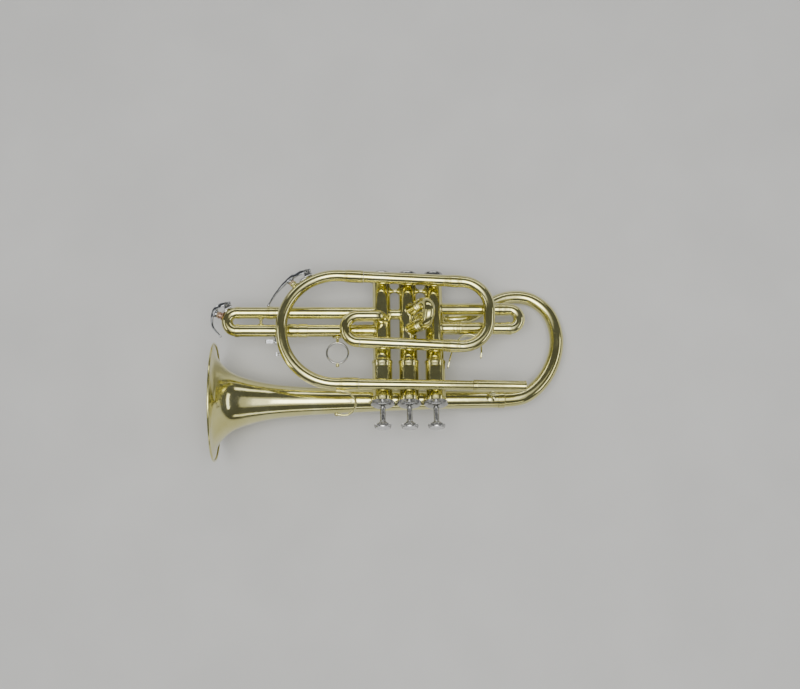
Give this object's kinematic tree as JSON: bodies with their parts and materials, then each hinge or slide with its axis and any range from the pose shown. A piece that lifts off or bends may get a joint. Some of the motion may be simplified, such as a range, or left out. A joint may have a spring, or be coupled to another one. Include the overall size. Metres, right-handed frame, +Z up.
{
  "type": "cornet",
  "caption": "Piston-valve cornet with a shepherd's crook, lying on its left side: sprung valves, sliding tuning crooks, hinged water keys.",
  "frame": {"origin": "centre of the bounding box at ground level, with the instrument at rest on its left side on the bell rim and the crook", "axes": "+X from the bell towards the player, +Z up, away from the ground: the instrument's right side, with the leadpipe, is uppermost; -Y side holds the finger buttons"},
  "size_m": [0.358, 0.192, 0.1184],
  "materials": {
    "brass": "polished",
    "nickel": "satin",
    "chrome": "polished",
    "spring_steel": "satin",
    "pearl": "gloss",
    "cork": "matte",
    "felt": "matte"
  },
  "bodies": {
    "instrument": {"bell": "brass", "bell_crook": "brass", "bottom_cap_1": "nickel", "bottom_cap_2": "nickel", "bottom_cap_3": "nickel", "bow_key_seat": "chrome", "entry_bow": "brass", "finger_hook": "brass", "first_slide_inner_tube": "brass", "first_slide_outer_tube": "brass", "front_bow": "brass", "leadpipe": "brass", "lyre_holder": "chrome", "mouthpiece_receiver": "brass", "receiver_brace": "brass", "second_slide_tube_high": "brass", "second_slide_tube_low": "brass", "third_slide_inner_tube": "brass", "third_slide_outer_tube": "brass", "top_cap_1": "nickel", "top_cap_2": "nickel", "top_cap_3": "nickel", "tuning_tube_lower": "brass", "tuning_tube_upper": "brass", "valve_casing_1": "brass", "valve_casing_2": "brass", "valve_casing_3": "brass", "valve_guide_1": "nickel", "valve_guide_2": "nickel", "valve_guide_3": "nickel", "valve_spring_1": "spring_steel", "valve_spring_2": "spring_steel", "valve_spring_3": "spring_steel"},
    "valve_action_1": {"piston_1": "nickel", "valve_stem_1": "nickel", "stem_felt_1": "felt", "finger_button_1": "nickel", "button_pearl_1": "pearl"},
    "valve_action_2": {"piston_2": "nickel", "valve_stem_2": "nickel", "stem_felt_2": "felt", "finger_button_2": "nickel", "button_pearl_2": "pearl"},
    "valve_action_3": {"piston_3": "nickel", "valve_stem_3": "nickel", "stem_felt_3": "felt", "finger_button_3": "nickel", "button_pearl_3": "pearl"},
    "tuning_slide": {"main_tuning_slide": "brass"},
    "first_slide": {"first_slide_crook": "brass", "thumb_saddle": "brass"},
    "second_slide": {"second_slide_crook": "brass"},
    "third_slide": {"third_slide_crook": "brass", "finger_ring": "brass", "slide_stop_screw": "chrome", "slide_key_seat": "chrome"},
    "bow_key": {"bow_key_lever": "chrome", "bow_key_cork": "cork"},
    "slide_key": {"slide_key_lever": "chrome", "slide_key_cork": "cork"}
  },
  "joints": [
    {"name": "valve_1_press", "type": "slide", "parent": "instrument", "child": "valve_action_1", "axis": [-0.0188, 0.9816, -0.1899], "range_m": [0, 0.014], "stiffness_N_per_m": 120, "springref_m": -0.015, "deforming": ["valve_spring_1"]},
    {"name": "valve_2_press", "type": "slide", "parent": "instrument", "child": "valve_action_2", "axis": [-0.0188, 0.9816, -0.1899], "range_m": [0, 0.014], "stiffness_N_per_m": 120, "springref_m": -0.015, "deforming": ["valve_spring_2"]},
    {"name": "valve_3_press", "type": "slide", "parent": "instrument", "child": "valve_action_3", "axis": [-0.0188, 0.9816, -0.1899], "range_m": [0, 0.014], "stiffness_N_per_m": 120, "springref_m": -0.015, "deforming": ["valve_spring_3"]},
    {"name": "tuning_slide_draw", "type": "slide", "parent": "instrument", "child": "tuning_slide", "axis": [0.9949, -0.0462, -0.0896], "range_m": [0, 0.02]},
    {"name": "first_slide_draw", "type": "slide", "parent": "instrument", "child": "first_slide", "axis": [0.9951, 0, -0.0986], "range_m": [0, 0.015]},
    {"name": "second_slide_draw", "type": "slide", "parent": "instrument", "child": "second_slide", "axis": [0.5527, 0.1685, 0.8162], "range_m": [0, 0.008]},
    {"name": "third_slide_draw", "type": "slide", "parent": "instrument", "child": "third_slide", "axis": [-0.9951, 0, 0.0986], "range_m": [0, 0.022]},
    {"name": "bow_key_lift", "type": "hinge", "parent": "instrument", "child": "bow_key", "pos_m": [-0.07959, 0.0912, 0.06672], "axis": [-0.0968, -0.1908, -0.9768], "range_deg": [0, 14], "stiffness_Nm_per_rad": 0.05, "springref_deg": -17.19},
    {"name": "slide_key_lift", "type": "hinge", "parent": "third_slide", "child": "slide_key", "pos_m": [-0.16037, 0.05993, 0.06292], "axis": [-0.0968, -0.1908, -0.9768], "range_deg": [0, 14], "stiffness_Nm_per_rad": 0.05, "springref_deg": -17.19}
  ]
}
